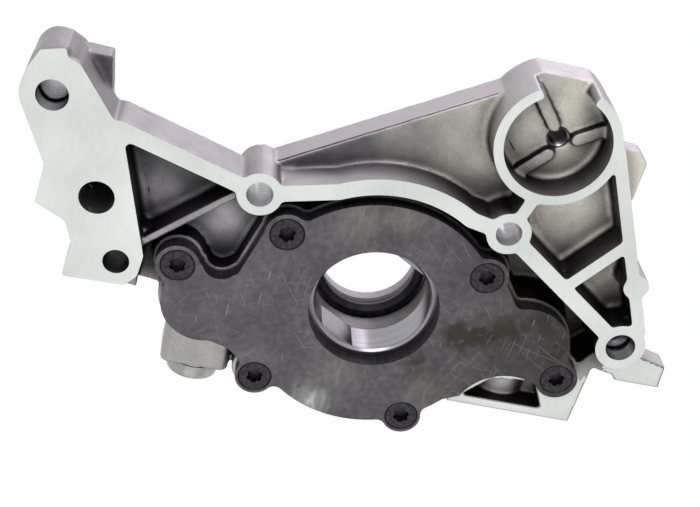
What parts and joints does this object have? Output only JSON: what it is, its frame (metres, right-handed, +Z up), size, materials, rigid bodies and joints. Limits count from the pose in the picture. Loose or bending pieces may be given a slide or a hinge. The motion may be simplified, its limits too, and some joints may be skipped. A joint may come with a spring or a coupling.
{
  "type": "engine oil pump",
  "caption": "Crank-driven gerotor oil pump in a ribbed cast front casting, with a screwed cover plate, relief valve and crankshaft seal.",
  "frame": {"origin": "crankshaft axis at the face that bolts to the block (y = 0)", "axes": "+X right seen from the block, +Y along the crankshaft from the block face into the casting, +Z up, square to the sump rail"},
  "size_m": [0.2246, 0.0394, 0.1333],
  "materials": {
    "case_casting": "die cast, machined on the lands",
    "cover_plate": "dark, oil stained",
    "screw_steel": "dark oxide",
    "rotor_steel": "ground and oiled",
    "seal_steel": "pressed sheet",
    "seal_rubber": "satin",
    "dust_lip_rubber": "pale, coated",
    "spring_steel": "drawn wire",
    "plug_steel": "zinc plated",
    "washer_aluminium": "soft, plain"
  },
  "bodies": {
    "case": {"pump_case": "case_casting", "rotor_cover": "cover_plate", "cover_screws": "screw_steel", "crank_seal_case": "seal_steel", "crank_seal_inner_ring": "seal_steel", "crank_seal_lip": "seal_rubber", "crank_seal_dust_lip": "dust_lip_rubber", "crank_seal_spring": "spring_steel", "relief_spring": "spring_steel", "relief_plug": "plug_steel", "relief_plug_washer": "washer_aluminium", "gallery_plug": "plug_steel"},
    "inner_rotor": {"inner_rotor": "rotor_steel"},
    "outer_rotor": {"outer_rotor": "rotor_steel"},
    "relief_plunger": {"relief_plunger": "rotor_steel"}
  },
  "joints": [
    {"name": "inner_rotor_turn", "type": "hinge", "parent": "case", "child": "inner_rotor", "pos_m": [0, 0.01185, 0], "axis": [0, 1, 0], "continuous": true},
    {"name": "outer_rotor_turn", "type": "hinge", "parent": "case", "child": "outer_rotor", "pos_m": [0, 0.01185, -0.0028], "axis": [0, 1, 0], "continuous": true},
    {"name": "relief_slide", "type": "slide", "parent": "case", "child": "relief_plunger", "axis": [0, 0, -1], "range_m": [0, 0.006], "stiffness_N_per_m": 5000, "springref_m": -0.0078, "deforming": ["relief_spring"]}
  ],
  "couplings": [
    {"joint": "outer_rotor_turn", "follows": "inner_rotor_turn", "ratio": 0.88889}
  ]
}
